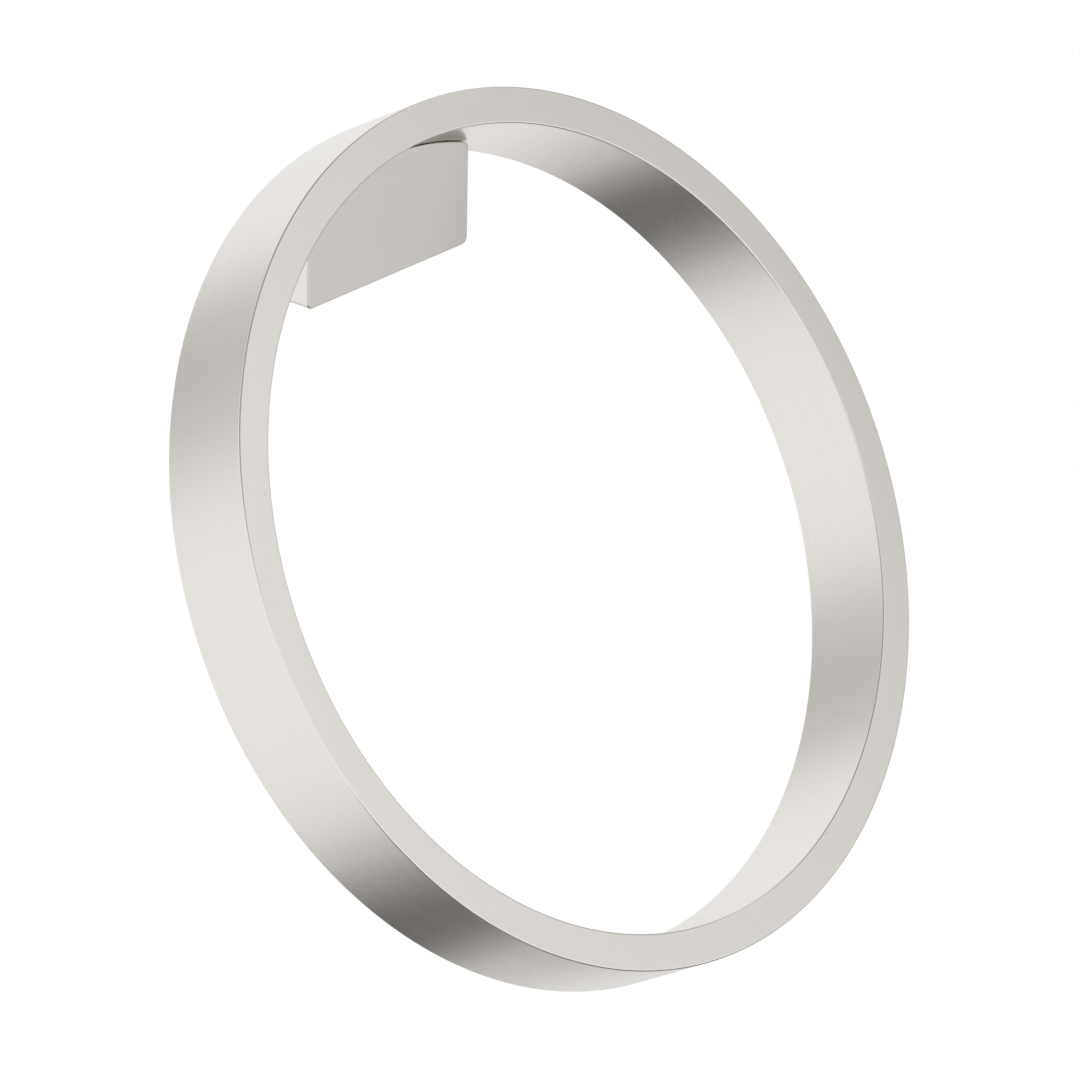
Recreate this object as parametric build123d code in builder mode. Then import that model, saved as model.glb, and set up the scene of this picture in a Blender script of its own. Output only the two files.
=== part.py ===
from build123d import *
from math import cos, radians, sin, sqrt, tan
import os

os.makedirs("parts", exist_ok=True)

# Towel ring: a flat-bar ring that leans out from the wall, held at its top by a small arched block.
# The block is hollow, hooks over a hidden wall bracket and is locked to it by a set screw from below.
# Frame: the wall is the plane y = 0, the object stands out from it towards -Y, and +Z is up.
# The origin lies on the wall, midway between the two wall screws.

# Ring: a flat bar rolled into a hoop
ring_diameter = 190.0  # outside
ring_wall = 7.9  # thickness of the bar, along the radius
ring_depth = 22.3  # width of the bar, along the ring's axis
ring_tilt = 30.0  # degrees that the ring leans out from the wall
ring_edge_break = 0.3  # chamfer on all four edges of the bar

# Mounting block: a hollow casting, open towards the wall, with an arched seat for the ring
block_width = 51.5
block_depth = 16.0  # from the wall to the front face
block_height = 27.7  # front face, from its bottom edge to the middle of the arch
block_drop = 10.0  # from the wall screws down to the bottom edge
block_wall = 2.5  # front and sides
block_floor = 3.0
block_roof = 2.5  # under the arch
block_corner_round = 1.5  # corners of the front outline
block_edge_round = 0.3  # rim of the front face
cavity_corner_round = 1.0
seat_length = 9.5  # how far the bar reaches back over the arch, from the front face
seat_gap = 0.15  # between the bar and the arch

# Flange of the block, which stands up behind the ring and takes its two screws
flange_thickness = 4.0
flange_width = 26.0
flange_rise = 6.4  # above the bar's inner face
flange_corner_round = 2.0

# Ring screws: countersunk, driven from behind through the flange into the bar
screw_spacing = 16.0
screw_inset = 3.3  # from the bar's inner face to the screws' axes
screw_diameter = 3.0
screw_head_diameter = 5.5
countersink_angle = 90.0  # ring screws and wall screws alike
screw_length = 10.0
screw_socket = 2.0  # across the flats
screw_socket_depth = 1.1
screw_play = 0.2  # radial, in the flange's holes
thread_play = 0.05  # radial, in tapped holes
tapped_spare = 1.0  # tapped hole beyond the screw's tip

# Wall bracket: a plate with an arched top edge, under the block's roof, and an undercut bottom edge
bracket_length = 40.0
bracket_thickness = 5.0
bracket_drop = 4.4  # from the wall screws down to the bottom edge, at the wall
bracket_undercut = 20.0  # degrees
bracket_corner_round = 1.5
hang_gap = 0.2  # between the bracket's arch and the block's roof
wall_screw_spacing = 26.0
wall_screw_hole = 4.4
wall_screw_sink = 8.0  # mouth of the countersinks

# Set screw: cone point, driven up through the block's floor against the bracket's undercut edge
set_screw_diameter = 4.0
set_screw_setback = 3.0  # from the wall to its axis
set_screw_recess = 0.5  # below the block's underside
set_screw_point = 1.2  # diameter of the flat at the tip
set_screw_socket = 2.0  # across the flats
set_screw_socket_depth = 2.0
set_screw_touch = 0.05  # between the tip and the bracket

# Places worked out from the sizes above
lean = radians(ring_tilt)
ring_axis = Vector(0, -cos(lean), sin(lean))  # out of the ring's front face
ring_rise = Vector(0, sin(lean), cos(lean))  # from the ring's centre towards its top
outer_radius = ring_diameter / 2
inner_radius = outer_radius - ring_wall
arch_radius = inner_radius - seat_gap
roof_radius = arch_radius - block_roof
arch_middle = Vector(0, -block_depth, block_height - block_drop)
ring_centre = arch_middle - ring_rise * inner_radius + ring_axis * (ring_depth / 2 - seat_length)

ring_plane = Plane(origin=ring_centre, x_dir=(1, 0, 0), z_dir=ring_axis)
ring_back = ring_plane.offset(-ring_depth / 2)
flange_back = ring_back.offset(-flange_thickness)
screw_radius = inner_radius + screw_inset
screw_height = sqrt(screw_radius**2 - (screw_spacing / 2) ** 2)  # above the ring's centre
screw_places = [(-screw_spacing / 2, screw_height), (screw_spacing / 2, screw_height)]
tapped_depth = screw_length - flange_thickness + tapped_spare
arch_reach = 2 * ring_diameter  # length of the cylinders that shape the arches

with BuildPart() as towel_ring:
    with BuildSketch(ring_back):
        Circle(outer_radius)
        Circle(inner_radius, mode=Mode.SUBTRACT)
    extrude(amount=ring_depth)
    chamfer(towel_ring.edges().filter_by(GeomType.CIRCLE), length=ring_edge_break)
    with BuildSketch(ring_back):
        with Locations(*screw_places):
            Circle(screw_diameter / 2 + thread_play)
    extrude(amount=tapped_depth, mode=Mode.SUBTRACT)

towel_ring.part.label = "towel_ring"
export_step(towel_ring.part, "parts/towel_ring.step")

# Hollow of the block: open at the wall, its roof parallel to the arch
with BuildPart() as cavity:
    with BuildSketch(Plane.XY.offset(block_floor - block_drop)):
        with Locations((0, (block_wall - block_depth) / 2)):
            Rectangle(block_width - 2 * block_wall, block_depth - block_wall)
    extrude(amount=block_height)
    with Locations(ring_plane):
        Cylinder(roof_radius, arch_reach, mode=Mode.INTERSECT)
    inner_edges = cavity.edges().filter_by(Axis.Z).group_by(Axis.Y)[0]
    fillet(inner_edges, radius=cavity_corner_round)

with BuildPart() as mounting_block:
    with BuildSketch(Plane.XY.offset(-block_drop)):
        with Locations((0, -block_depth / 2)):
            Rectangle(block_width, block_depth)
    extrude(amount=block_height + ring_wall)
    with Locations(ring_plane):
        Cylinder(arch_radius, arch_reach, mode=Mode.INTERSECT)
    low_corners = mounting_block.edges().filter_by(Axis.Y)
    arch_corners = mounting_block.edges().filter_by(Axis((0, 0, 0), ring_axis))
    fillet(low_corners + arch_corners, radius=block_corner_round)
    front_rim = mounting_block.faces().sort_by(Axis.Y)[0].edges()
    fillet(front_rim, radius=block_edge_round)
    # The flange is rooted in the roof, flush with the ring's back face
    with BuildSketch(ring_back) as flange:
        Circle(inner_radius + flange_rise)
        Circle(arch_radius - block_roof / 2, mode=Mode.SUBTRACT)
        with Locations((0, inner_radius)):
            Rectangle(flange_width, inner_radius, mode=Mode.INTERSECT)
        fillet(flange.vertices().sort_by(Axis.Y)[-2:], radius=flange_corner_round)
    extrude(amount=-flange_thickness)
    add(cavity.part, mode=Mode.SUBTRACT)
    # Countersinks open on the flange's back
    with Locations(Plane(flange_back.origin, x_dir=(1, 0, 0), z_dir=-ring_axis)):
        with Locations(*[(x, -y) for x, y in screw_places]):
            CounterSinkHole(
                radius=screw_diameter / 2 + screw_play,
                counter_sink_radius=screw_head_diameter / 2 + screw_play,
                depth=flange_thickness,
                counter_sink_angle=countersink_angle,
            )
    with BuildSketch(Plane.XY.offset(-block_drop)):
        with Locations((0, -set_screw_setback)):
            Circle(set_screw_diameter / 2 + thread_play)
    extrude(amount=block_floor, mode=Mode.SUBTRACT)

mounting_block.part.label = "mounting_block"
export_step(mounting_block.part, "parts/mounting_block.step")

with BuildPart() as wall_bracket:
    undercut_drop = bracket_thickness * tan(radians(bracket_undercut))
    with BuildSketch(Plane.YZ):
        with BuildLine():
            Polyline(
                (0, block_height),
                (0, -bracket_drop),
                (-bracket_thickness, -bracket_drop - undercut_drop),
                (-bracket_thickness, block_height),
                close=True,
            )
        make_face()
    extrude(amount=bracket_length / 2, both=True)
    with Locations(ring_plane):
        Cylinder(roof_radius - hang_gap, arch_reach, mode=Mode.INTERSECT)
    end_edges = wall_bracket.faces().filter_by(Axis.X).edges()
    fillet(end_edges.filter_by(Axis.Z, reverse=True), radius=bracket_corner_round)
    with Locations(Plane((0, -bracket_thickness, 0), x_dir=(1, 0, 0), z_dir=(0, -1, 0))):
        with GridLocations(wall_screw_spacing, 0, 2, 1):
            CounterSinkHole(
                radius=wall_screw_hole / 2,
                counter_sink_radius=wall_screw_sink / 2,
                depth=bracket_thickness,
                counter_sink_angle=countersink_angle,
            )

wall_bracket.part.label = "wall_bracket"
export_step(wall_bracket.part, "parts/wall_bracket.step")

with BuildPart() as set_screw:
    screw_foot = Plane((0, -set_screw_setback, set_screw_recess - block_drop))
    undercut_reach = set_screw_setback + set_screw_point / 2
    tip_height = -bracket_drop - undercut_reach * tan(radians(bracket_undercut)) - set_screw_touch
    with BuildSketch(screw_foot):
        Circle(set_screw_diameter / 2)
    extrude(amount=tip_height - screw_foot.origin.Z)
    tip_edge = set_screw.edges().sort_by(Axis.Z)[-1]
    chamfer(tip_edge, length=(set_screw_diameter - set_screw_point) / 2)
    with BuildSketch(screw_foot):
        RegularPolygon(set_screw_socket / 2, 6, major_radius=False)
    extrude(amount=set_screw_socket_depth, mode=Mode.SUBTRACT)

set_screw.part.label = "set_screw"
export_step(set_screw.part, "parts/set_screw.step")

for side, (x, y) in zip(("left", "right"), screw_places):
    head_centre = flange_back.from_local_coords(Vector(x, y, 0))
    head_height = (screw_head_diameter - screw_diameter) / 2 / tan(radians(countersink_angle / 2))
    with BuildPart() as ring_screw:
        with BuildSketch(Plane(head_centre, x_dir=(1, 0, 0), z_dir=-ring_rise)):
            with BuildLine():
                Polyline(
                    (0, 0),
                    (screw_head_diameter / 2, 0),
                    (screw_diameter / 2, head_height),
                    (screw_diameter / 2, screw_length),
                    (0, screw_length),
                    close=True,
                )
            make_face()
        revolve(axis=Axis(head_centre, ring_axis))
        with BuildSketch(Plane(head_centre, x_dir=(1, 0, 0), z_dir=ring_axis)):
            RegularPolygon(screw_socket / 2, 6, major_radius=False)
        extrude(amount=screw_socket_depth, mode=Mode.SUBTRACT)
    ring_screw.part.label = f"ring_screw_{side}"
    export_step(ring_screw.part, f"parts/ring_screw_{side}.step")
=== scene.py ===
from math import atan2, cos, hypot, pi, radians, sin, sqrt

import bpy
from mathutils import Matrix, Vector


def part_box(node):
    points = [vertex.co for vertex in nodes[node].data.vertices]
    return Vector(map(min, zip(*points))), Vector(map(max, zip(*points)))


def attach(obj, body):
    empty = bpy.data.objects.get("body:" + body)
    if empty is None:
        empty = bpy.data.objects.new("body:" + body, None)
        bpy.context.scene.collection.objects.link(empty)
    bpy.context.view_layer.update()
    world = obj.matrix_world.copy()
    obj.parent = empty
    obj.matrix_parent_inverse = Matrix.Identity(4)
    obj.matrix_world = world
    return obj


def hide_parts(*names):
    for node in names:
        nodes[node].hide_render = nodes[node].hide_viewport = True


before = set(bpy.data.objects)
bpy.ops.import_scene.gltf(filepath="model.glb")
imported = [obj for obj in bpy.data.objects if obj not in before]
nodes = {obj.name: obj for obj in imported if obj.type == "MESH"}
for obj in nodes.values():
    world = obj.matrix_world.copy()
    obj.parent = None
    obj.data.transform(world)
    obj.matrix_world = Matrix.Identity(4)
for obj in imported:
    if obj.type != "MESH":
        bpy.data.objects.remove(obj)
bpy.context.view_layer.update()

# Ring: a flat bar rolled into a hoop, which leans out from the wall (metres)
ring_low, ring_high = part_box("towel_ring")
ring_centre = (ring_low + ring_high) / 2
outer_radius = (ring_high.x - ring_low.x) / 2
ring_wall = 0.0079
ring_depth = 0.0223
ring_tilt = radians(30)
edge_round = 0.00035
edge_steps = 6
hoop_steps = 480
merge_distance = 1e-7
smooth_angle = radians(40)  # edges that turn by less are shaded smooth
large_face_weight = 100  # the large faces set the shading at their edges
inner_radius = outer_radius - ring_wall
bar_middle = (outer_radius + inner_radius) / 2
ring_turn = radians(90) - ring_tilt  # turns +Z to the ring's axis
ring_place = Matrix.Translation(ring_centre) @ Matrix.Rotation(ring_turn, 4, "X")

# Tapped holes in the bar's back face, for the two screws of the block's flange
screw_spacing = 0.016
screw_inset = 0.0033  # from the bar's inner face
tapped_radius = 0.00155
tapped_depth = 0.007
tapped_steps = 32
screw_height = sqrt((inner_radius + screw_inset) ** 2 - (screw_spacing / 2) ** 2)
screw_spots = {
    "ring_screw_left": Vector((-screw_spacing / 2, screw_height, -ring_depth / 2)),
    "ring_screw_right": Vector((screw_spacing / 2, screw_height, -ring_depth / 2)),
}

# Hollow of the block, where the casting is left unbrushed; each bound lies a hair outside the hollow's face
hollow_half_width = 0.02335
hollow_front = -0.0136
hollow_floor = -0.0071
hollow_roof_radius = 0.0845

# Colours are linear
white = (1, 1, 1, 1)
nickel_bright = (0.83, 0.805, 0.775, 1)
nickel_dull = (0.756, 0.733, 0.705, 1)
casting_bright = (0.50, 0.48, 0.455, 1)
casting_dull = (0.36, 0.345, 0.325, 1)
zinc_bright = (0.64, 0.65, 0.66, 1)
zinc_dull = (0.50, 0.51, 0.525, 1)
steel_bright = (0.58, 0.575, 0.565, 1)
steel_dull = (0.44, 0.435, 0.43, 1)
tone_least = 0.25  # where the nickel's tone starts between dull and bright
tone_spread = 0.5  # how much the broad brush lines add to it

# Roughness, from the smoothest lines or grain to the roughest
ring_roughness = (0.25, 0.33)
edge_roughness = 0.12  # the ring's edges are burnished
block_roughness = (0.26, 0.36)
casting_roughness = (0.5, 0.7)
zinc_roughness = (0.36, 0.54)
steel_roughness = (0.28, 0.42)

# Texture of the finishes: fineness is in lines or grains per metre
brush_stretch = 0.06  # a brush line's width over its length
brush_fineness = 4500
lathe_fineness = 5000
casting_fineness = 2500
zinc_fineness = 2200
broad_share = 0.3  # fineness of the broad brush lines over that of the fine ones
patch_share = 0.12  # fineness of a casting's patches over that of its grain
brush_anisotropy = 0.5
bump_depth = 0.0001
ring_bump = 0.018
block_bump = 0.08
zinc_bump = 0.12
steel_bump = 0.1

# Studio
floor_height = -1.6
floor_size = 60
floor_lift = 0.95  # share of plain white in the floor, as the camera, metal and glass see it
tent_radius = 1.2
tent_subdivisions = 5
tent_shade = (1, 0.965, 0.9, 1)  # tint of the tent's darkest parts
# Darker parts of the tent, as the metal mirrors them: turn from straight behind towards the right and height
# over the horizon, in degrees, the share of light left, and how many degrees from its middle each gap is
# full and has faded out
tent_gaps = {
    "below": (-10, -65, 0.0, 10, 20),
    "behind": (-10, 5, 0.5, 0, 25),
    "above": (180, 80, 0.4, 30, 60),
    "right": (90, 0, 0.4, 25, 50),
    "right low": (135, -60, 0.2, 30, 40),
    "left low": (-135, -60, 0.2, 30, 40),
}

# Camera, at the photograph's viewing angle
view_azimuth = radians(50.51)  # to the left of straight in front
view_elevation = radians(23.65)
view_roll = radians(1.0)
view_distance = 2.0643
aim_right, aim_up = -0.00178, -0.00052  # from the ring's centre to the picture's middle
focal_length = 327.67  # mm
sensor_width = 36  # mm

# A Mix node's colour sockets, which share their names with its other ones
mix_first, mix_second, mix_result = 6, 7, 2


def add_node(tree, kind, inputs=(), **settings):
    """Adds a node; each input is a value or another node's output."""
    node = tree.nodes.new(kind)
    for name, value in settings.items():
        setattr(node, name, value)
    for socket, value in dict(inputs).items():
        if isinstance(value, bpy.types.NodeSocket):
            tree.links.new(value, node.inputs[socket])
        else:
            node.inputs[socket].default_value = value
    return node


def maths(tree, operation, *values):
    return add_node(tree, "ShaderNodeMath", enumerate(values), operation=operation).outputs[0]


def mix_colours(tree, factor, first, second):
    inputs = {"Factor": factor, mix_first: first, mix_second: second}
    return add_node(tree, "ShaderNodeMix", inputs, data_type="RGBA").outputs[mix_result]


def mix_values(tree, factor, first, second):
    inputs = {"Value": factor, "To Min": first, "To Max": second}
    return add_node(tree, "ShaderNodeMapRange", inputs).outputs["Result"]


def bump(tree, height, strength):
    inputs = {"Height": height, "Strength": strength, "Distance": bump_depth}
    return add_node(tree, "ShaderNodeBump", inputs).outputs["Normal"]


def object_place(tree):
    return add_node(tree, "ShaderNodeTexCoord").outputs["Object"]


def new_group(name, inputs, outputs):
    """A node group with float or vector inputs and float outputs; returns it with its two end nodes."""
    group = bpy.data.node_groups.new(name, "ShaderNodeTree")
    for socket, kind in inputs.items():
        group.interface.new_socket(socket, in_out="INPUT", socket_type=kind)
    for socket in outputs:
        group.interface.new_socket(socket, in_out="OUTPUT", socket_type="NodeSocketFloat")
    return group, group.nodes.new("NodeGroupInput"), group.nodes.new("NodeGroupOutput")


def use_group(tree, group, inputs):
    return add_node(tree, "ShaderNodeGroup", inputs, node_tree=group)


def brush_lines_group():
    """Fine lines of a brushed finish, with broader ones among them. Place is squeezed along the lines."""
    inputs = {"Place": "NodeSocketVector", "Radius": "NodeSocketFloat", "Fineness": "NodeSocketFloat"}
    group, given, result = new_group("brush lines", inputs, ["Lines", "Bands"])
    fine = given.outputs["Fineness"]
    broad = maths(group, "MULTIPLY", fine, broad_share)
    for output, scale, detail in (("Lines", fine, 1.0), ("Bands", broad, 2.0)):
        noise = add_node(
            group, "ShaderNodeTexNoise",
            {"Vector": given.outputs["Place"], "W": given.outputs["Radius"],
             "Scale": scale, "Detail": detail, "Roughness": 0.5},
            noise_dimensions="4D",
        )
        group.links.new(noise.outputs["Fac"], result.inputs[output])
    return group


def cast_grain_group():
    """The fine pitting of a plain casting, with larger cloudy patches."""
    inputs = {"Place": "NodeSocketVector", "Fineness": "NodeSocketFloat"}
    group, given, result = new_group("cast grain", inputs, ["Grain", "Patches"])
    place, fineness = given.outputs["Place"], given.outputs["Fineness"]
    grain = add_node(
        group, "ShaderNodeTexNoise",
        {"Vector": place, "Scale": fineness, "Detail": 4.0, "Roughness": 0.6},
    )
    patches = add_node(
        group, "ShaderNodeTexVoronoi",
        {"Vector": place, "Scale": maths(group, "MULTIPLY", fineness, patch_share), "Smoothness": 0.6},
        feature="SMOOTH_F1",
    )
    group.links.new(grain.outputs["Fac"], result.inputs["Grain"])
    group.links.new(patches.outputs["Distance"], result.inputs["Patches"])
    return group


def metal_material(name):
    """A material with only a metal shader, and its tree and shader."""
    material = bpy.data.materials.new(name)
    material.use_nodes = True
    tree = material.node_tree
    shader = tree.nodes["Principled BSDF"]
    shader.inputs["Metallic"].default_value = 1.0
    return material, tree, shader


def empty_material(name):
    """A material with no nodes yet, and its tree."""
    material = bpy.data.materials.new(name)
    material.use_nodes = True
    material.node_tree.nodes.clear()
    return material, material.node_tree


def feed(tree, shader, **sockets):
    for name, output in sockets.items():
        tree.links.new(output, shader.inputs[name.replace("_", " ")])


def turned_place(tree, place, centre, turn):
    """Coordinates about an axis through centre, turned about X from +Z: X, Y, Z and the radius."""
    about = add_node(
        tree, "ShaderNodeMapping",
        {"Vector": place, "Location": centre, "Rotation": (turn, 0, 0)},
        vector_type="TEXTURE",
    )
    x, y, z = add_node(tree, "ShaderNodeSeparateXYZ", {"Vector": about.outputs["Vector"]}).outputs
    flat = add_node(tree, "ShaderNodeCombineXYZ", {"X": x, "Y": y})
    radius = add_node(tree, "ShaderNodeVectorMath", {0: flat.outputs["Vector"]}, operation="LENGTH")
    return x, y, z, radius.outputs["Value"]


def lines_round_an_axis(tree, lines, centre, turn, fineness):
    """Brush lines that run round an axis, with the place along that axis and the radius."""
    x, y, z, radius = turned_place(tree, object_place(tree), centre, turn)
    squeezed_x = maths(tree, "MULTIPLY", x, brush_stretch)
    squeezed_y = maths(tree, "MULTIPLY", y, brush_stretch)
    squeezed = add_node(tree, "ShaderNodeCombineXYZ", {"X": squeezed_x, "Y": squeezed_y, "Z": z})
    inputs = {"Place": squeezed.outputs["Vector"], "Radius": radius, "Fineness": fineness}
    return use_group(tree, lines, inputs).outputs, z, radius


def nickel_colour(tree, bands):
    tone = maths(tree, "MULTIPLY_ADD", bands, tone_spread, tone_least)
    return mix_colours(tree, tone, nickel_dull, nickel_bright)


def brushed_ring_material(lines):
    """Nickel brushed round the hoop, so that each line keeps its radius and its place across the bar."""
    material, tree, shader = metal_material("nickel, brushed round the ring")
    brushed, z, radius = lines_round_an_axis(tree, lines, ring_centre, ring_turn, brush_fineness)
    off_middle = maths(tree, "SUBTRACT", radius, bar_middle)
    across = maths(tree, "GREATER_THAN", maths(tree, "ABSOLUTE", z), ring_depth / 2 - edge_round)
    along = maths(tree, "GREATER_THAN", maths(tree, "ABSOLUTE", off_middle), ring_wall / 2 - edge_round)
    edge = maths(tree, "MULTIPLY", across, along)
    rough_faces = mix_values(tree, brushed["Lines"], *ring_roughness)
    feed(
        tree, shader,
        Base_Color=nickel_colour(tree, brushed["Bands"]),
        Roughness=mix_values(tree, edge, rough_faces, edge_roughness),
        Normal=bump(tree, brushed["Lines"], ring_bump),
    )
    shader.inputs["Anisotropic"].default_value = brush_anisotropy
    tangent = add_node(tree, "ShaderNodeTangent", direction_type="UV_MAP", uv_map="round the ring")
    tree.links.new(tangent.outputs["Tangent"], shader.inputs["Tangent"])
    return material


def brushed_block_material(lines, grain):
    """Nickel brushed straight across outside, and the plain casting in the hollow."""
    material, tree, shader = metal_material("nickel, brushed across the block")
    place = object_place(tree)
    squeezed = add_node(
        tree, "ShaderNodeVectorMath", {0: place, 1: (brush_stretch, 1, 1)}, operation="MULTIPLY"
    )
    inputs = {"Place": squeezed.outputs["Vector"], "Radius": 0.0, "Fineness": brush_fineness}
    brushed = use_group(tree, lines, inputs).outputs
    cast = use_group(tree, grain, {"Place": place, "Fineness": casting_fineness}).outputs
    x, y, z = add_node(tree, "ShaderNodeSeparateXYZ", {"Vector": place}).outputs
    radius = turned_place(tree, place, ring_centre, ring_turn)[3]
    hollow = maths(tree, "LESS_THAN", maths(tree, "ABSOLUTE", x), hollow_half_width)
    for within in (
        maths(tree, "GREATER_THAN", y, hollow_front),
        maths(tree, "GREATER_THAN", z, hollow_floor),
        maths(tree, "LESS_THAN", radius, hollow_roof_radius),
    ):
        hollow = maths(tree, "MULTIPLY", hollow, within)
    outside = nickel_colour(tree, brushed["Bands"])
    inside = mix_colours(tree, cast["Patches"], casting_dull, casting_bright)
    rough_outside = mix_values(tree, brushed["Lines"], *block_roughness)
    rough_inside = mix_values(tree, cast["Grain"], *casting_roughness)
    height = mix_values(tree, hollow, brushed["Lines"], cast["Grain"])
    feed(
        tree, shader,
        Base_Color=mix_colours(tree, hollow, outside, inside),
        Roughness=mix_values(tree, hollow, rough_outside, rough_inside),
        Normal=bump(tree, height, block_bump),
    )
    return material


def plated_bracket_material(grain):
    """Zinc plate that shows the casting's grain under it."""
    material, tree, shader = metal_material("zinc plate over a casting")
    cast = use_group(tree, grain, {"Place": object_place(tree), "Fineness": zinc_fineness}).outputs
    feed(
        tree, shader,
        Base_Color=mix_colours(tree, cast["Patches"], zinc_dull, zinc_bright),
        Roughness=mix_values(tree, cast["Grain"], *zinc_roughness),
        Normal=bump(tree, cast["Grain"], zinc_bump),
    )
    return material


def turned_screw_material(name, lines, centre, turn):
    """Steel with the lathe's fine rings about the screw's axis."""
    material, tree, shader = metal_material(name)
    turned = lines_round_an_axis(tree, lines, centre, turn, lathe_fineness)[0]
    feed(
        tree, shader,
        Base_Color=mix_colours(tree, turned["Bands"], steel_dull, steel_bright),
        Roughness=mix_values(tree, turned["Lines"], *steel_roughness),
        Normal=bump(tree, turned["Lines"], steel_bump),
    )
    return material


def finish_with(piece, material):
    piece.data.materials.clear()
    piece.data.materials.append(material)


def apply_modifier(piece, kind, **settings):
    bpy.context.view_layer.objects.active = piece
    modifier = piece.modifiers.new(kind, kind)
    for name, value in settings.items():
        setattr(modifier, name, value)
    bpy.ops.object.modifier_apply(modifier=modifier.name)


def map_round_the_ring(hoop):
    """U runs round the hoop and V round the bar's section, so the brush's direction follows U."""
    layer = hoop.data.uv_layers.new(name="round the ring")

    def turns(point):
        off_middle = hypot(point.x, point.y) - bar_middle
        return atan2(point.y, point.x) / (2 * pi), atan2(point.z, off_middle) / (2 * pi)

    for face in hoop.data.polygons:
        face_turns = turns(face.center)
        for corner in face.loop_indices:
            point = hoop.data.vertices[hoop.data.loops[corner].vertex_index].co
            layer.uv[corner].vector = [
                near + (turn - near + 0.5) % 1 - 0.5 for near, turn in zip(face_turns, turns(point))
            ]


def tap_hole(hoop, spot):
    bpy.ops.object.select_all(action="DESELECT")
    bpy.ops.mesh.primitive_cylinder_add(
        vertices=tapped_steps, radius=tapped_radius, depth=2 * tapped_depth, location=spot
    )
    drill = bpy.context.object
    apply_modifier(hoop, "BOOLEAN", object=drill, operation="DIFFERENCE", solver="EXACT")
    bpy.data.objects.remove(drill)


def hoop_of_flat_bar():
    """The bar's section with rounded corners, spun once round the ring's axis, then tapped from behind."""
    bpy.ops.object.select_all(action="DESELECT")
    bpy.ops.mesh.primitive_plane_add(size=1)
    hoop = bpy.context.object
    hoop.name = hoop.data.name = "hoop"
    bpy.ops.object.mode_set(mode="EDIT")
    bpy.ops.mesh.select_all(action="SELECT")
    bpy.ops.transform.resize(value=(ring_wall, ring_depth, 1))
    bpy.ops.mesh.bevel(offset=edge_round, segments=edge_steps, affect="VERTICES")
    bpy.ops.transform.rotate(value=radians(90), orient_axis="X", center_override=(0, 0, 0))
    bpy.ops.transform.translate(value=(bar_middle, 0, 0))
    bpy.ops.mesh.delete(type="ONLY_FACE")
    bpy.ops.mesh.select_all(action="SELECT")
    bpy.ops.mesh.spin(steps=hoop_steps, angle=2 * pi, center=(0, 0, 0), axis=(0, 0, 1))
    bpy.ops.mesh.select_all(action="SELECT")
    bpy.ops.mesh.remove_doubles(threshold=merge_distance)
    bpy.ops.mesh.normals_make_consistent(inside=False)
    bpy.ops.object.mode_set(mode="OBJECT")
    for spot in screw_spots.values():
        tap_hole(hoop, spot)
    map_round_the_ring(hoop)
    hoop.matrix_world = ring_place
    bpy.ops.object.select_all(action="DESELECT")
    hoop.select_set(True)
    bpy.context.view_layer.objects.active = hoop
    bpy.ops.object.transform_apply(location=True, rotation=True, scale=True)
    bpy.ops.object.shade_smooth_by_angle(angle=smooth_angle)
    apply_modifier(hoop, "WEIGHTED_NORMAL", keep_sharp=True, weight=large_face_weight)
    return hoop


def studio_floor():
    """A white floor that shows the shadow of what is over it."""
    bpy.ops.object.select_all(action="DESELECT")
    bpy.ops.mesh.primitive_plane_add(size=floor_size, location=(0, 0, floor_height))
    floor = bpy.context.object
    floor.name = "studio_floor"
    material, tree = empty_material("white floor")
    paint = add_node(tree, "ShaderNodeBsdfDiffuse", {"Color": white})
    glow = add_node(tree, "ShaderNodeEmission")
    ray = add_node(tree, "ShaderNodeLightPath").outputs
    mirrored = maths(tree, "MAXIMUM", ray["Is Glossy Ray"], ray["Is Transmission Ray"])
    seen = maths(tree, "MAXIMUM", ray["Is Camera Ray"], mirrored)
    both = add_node(
        tree, "ShaderNodeMixShader",
        {0: maths(tree, "MULTIPLY", seen, floor_lift), 1: paint.outputs[0], 2: glow.outputs[0]},
    )
    add_node(tree, "ShaderNodeOutputMaterial", {"Surface": both.outputs[0]})
    finish_with(floor, material)


def white_world():
    """White light from all round."""
    world = bpy.data.worlds.new("white studio")
    bpy.context.scene.world = world
    world.use_nodes = True
    world.node_tree.nodes["Background"].inputs["Color"].default_value = white


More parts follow.
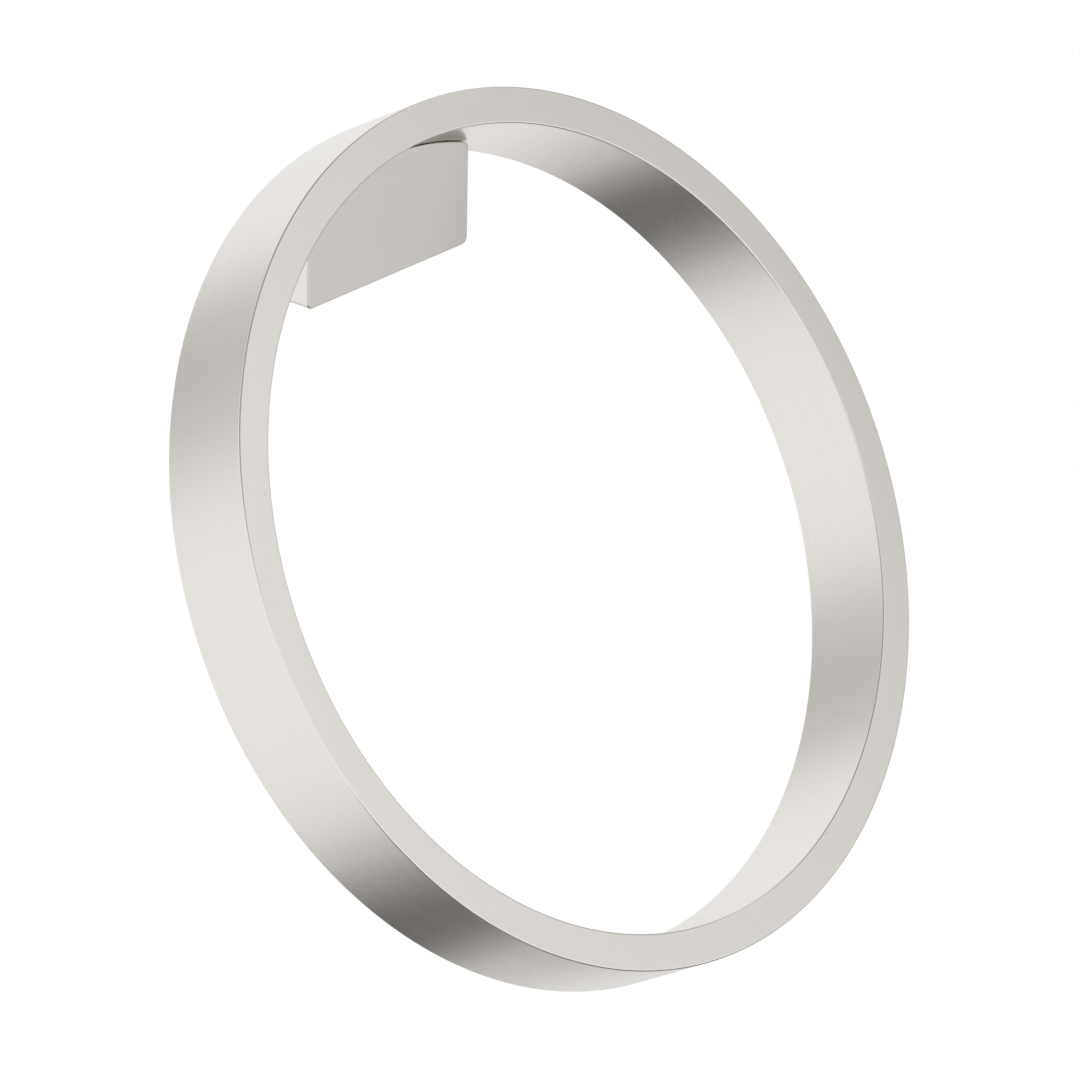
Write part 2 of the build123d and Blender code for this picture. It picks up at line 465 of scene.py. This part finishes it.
def light_tent():
    """A round tent that only the metal mirrors, with darker gaps. Where gaps overlap, the darkest counts."""
    bpy.ops.object.select_all(action="DESELECT")
    bpy.ops.mesh.primitive_ico_sphere_add(
        subdivisions=tent_subdivisions, radius=tent_radius, location=ring_centre
    )
    tent = bpy.context.object
    tent.name = "light_tent"
    tent.visible_camera = tent.visible_diffuse = tent.visible_transmission = tent.visible_shadow = False
    material, tree = empty_material("tent cloth")
    direction = add_node(tree, "ShaderNodeVectorMath", {0: object_place(tree)}, operation="NORMALIZE")
    light = 1.0
    for turn, height, light_left, full_width, faded_width in tent_gaps.values():
        level = cos(radians(height))
        towards = (sin(radians(turn)) * level, cos(radians(turn)) * level, sin(radians(height)))
        facing = add_node(
            tree, "ShaderNodeVectorMath",
            {0: direction.outputs["Vector"], 1: towards},
            operation="DOT_PRODUCT",
        )
        gap = add_node(
            tree, "ShaderNodeMapRange",
            {"Value": facing.outputs["Value"], "From Min": cos(radians(faded_width)),
             "From Max": cos(radians(full_width)), "To Min": 1.0, "To Max": light_left},
            interpolation_type="SMOOTHSTEP",
        )
        light = maths(tree, "MINIMUM", light, gap.outputs["Result"])
    tint = mix_colours(tree, light, tent_shade, white)
    cloth = add_node(tree, "ShaderNodeEmission", {"Color": tint, "Strength": light})
    add_node(tree, "ShaderNodeOutputMaterial", {"Surface": cloth.outputs[0]})
    finish_with(tent, material)


def photo_camera():
    """A camera that looks at the ring from the front left, a little from above."""
    turn = (
        Matrix.Rotation(-view_azimuth, 4, "Z")
        @ Matrix.Rotation(radians(90) - view_elevation, 4, "X")
        @ Matrix.Rotation(view_roll, 4, "Z")
    )
    aim = Matrix.Translation((aim_right, aim_up, view_distance))
    camera = bpy.data.objects.new("camera", bpy.data.cameras.new("camera"))
    bpy.context.scene.collection.objects.link(camera)
    camera.data.lens = focal_length
    camera.data.sensor_width = sensor_width
    camera.matrix_world = Matrix.Translation(ring_centre) @ turn @ aim
    bpy.context.scene.camera = camera


brush_lines = brush_lines_group()
cast_grain = cast_grain_group()

hoop = hoop_of_flat_bar()
finish_with(hoop, brushed_ring_material(brush_lines))
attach(hoop, "root")
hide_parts("towel_ring")

finish_with(nodes["mounting_block"], brushed_block_material(brush_lines, cast_grain))
finish_with(nodes["wall_bracket"], plated_bracket_material(cast_grain))
for name, spot in screw_spots.items():
    steel_name = name.replace("_", " ") + " steel"
    finish_with(nodes[name], turned_screw_material(steel_name, brush_lines, ring_place @ spot, ring_turn))
set_screw_low, set_screw_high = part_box("set_screw")
set_screw_foot = (set_screw_low + set_screw_high) / 2
set_screw_foot.z = 0
finish_with(nodes["set_screw"], turned_screw_material("set screw steel", brush_lines, set_screw_foot, 0))

studio_floor()
white_world()
light_tent()
photo_camera()
bpy.context.scene.view_settings.view_transform = "Standard"
